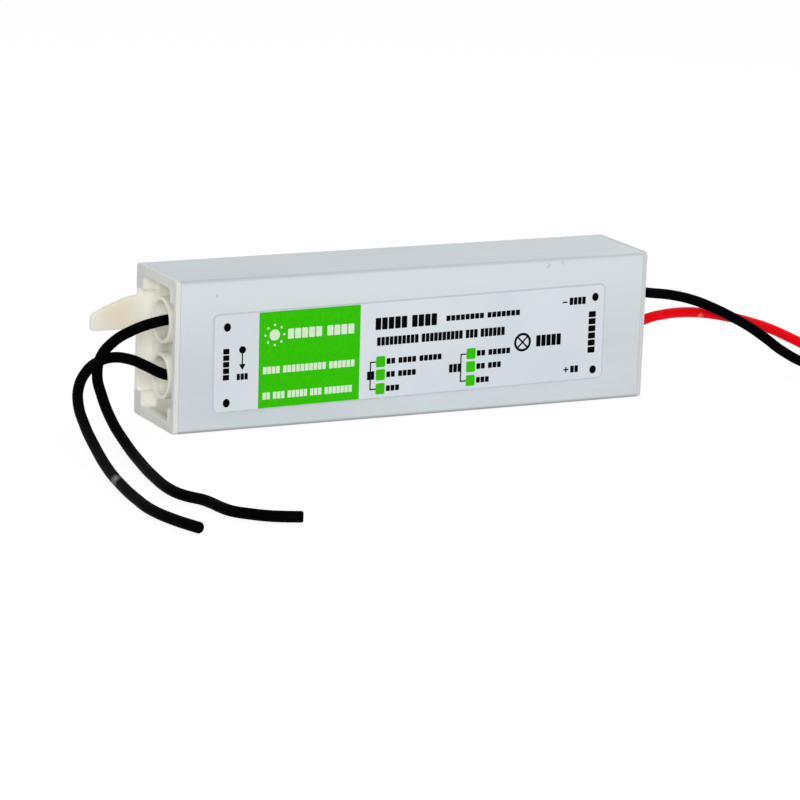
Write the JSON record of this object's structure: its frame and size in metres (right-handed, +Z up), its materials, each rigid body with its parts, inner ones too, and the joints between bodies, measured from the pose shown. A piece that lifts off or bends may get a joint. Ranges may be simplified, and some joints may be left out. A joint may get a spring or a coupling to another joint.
{
  "type": "led driver",
  "caption": "Waterproof LED driver: rectangular aluminium tube with moulded end caps and fixing ears, a front label, input leads at one end and output leads at the other.",
  "frame": {"origin": "middle of the narrow long side that the driver stands on, in the plane of the floor, leads left out", "axes": "+X along the tube to the output end, +Y to the mounting face at the back (the label faces -Y), +Z up"},
  "size_m": [0.1944, 0.0856, 0.03],
  "materials": {
    "tube_aluminium": "fine matt silver-grey",
    "cap_nylon": "natural translucent nylon, semi-matt",
    "label_film": "satin silver-white film",
    "lead_black": "soft insulation, slightly glossy",
    "lead_red": "soft insulation, slightly glossy",
    "sealing_resin": "cast resin, satin",
    "insulating_paper": "matt",
    "board_laminate": "solder-masked laminate",
    "resistor_coating": "matt",
    "disc_coating": "dipped coating",
    "film_capacitor_case": "moulded case",
    "ferrite": "matt",
    "chip_moulding": "matt moulding",
    "can_sleeve": "shrunk film",
    "winding_tape": "polyester tape",
    "optocoupler_moulding": "matt moulding"
  },
  "bodies": {
    "root": {"housing_tube": "tube_aluminium", "input_end_cap": "cap_nylon", "output_end_cap": "cap_nylon", "label": "label_film", "input_lead_upper": "lead_black", "input_lead_lower": "lead_black", "output_lead_black": "lead_black", "output_lead_red": "lead_red", "input_sealant": "sealing_resin", "output_sealant": "sealing_resin", "insulation_sleeve": "insulating_paper", "circuit_board": "board_laminate", "fuse_resistor": "resistor_coating", "varistor": "disc_coating", "filter_capacitor": "film_capacitor_case", "input_choke": "ferrite", "bridge_rectifier": "chip_moulding", "bulk_capacitor": "can_sleeve", "controller_chip": "chip_moulding", "clamp_diode": "chip_moulding", "transformer_core_input_half": "ferrite", "transformer_core_output_half": "ferrite", "transformer_bobbin": "chip_moulding", "transformer_winding": "winding_tape", "interference_capacitor": "disc_coating", "optocoupler": "optocoupler_moulding", "output_diode": "chip_moulding", "output_capacitor_inner": "can_sleeve", "output_capacitor_outer": "can_sleeve", "output_choke": "ferrite"}
  },
  "joints": []
}
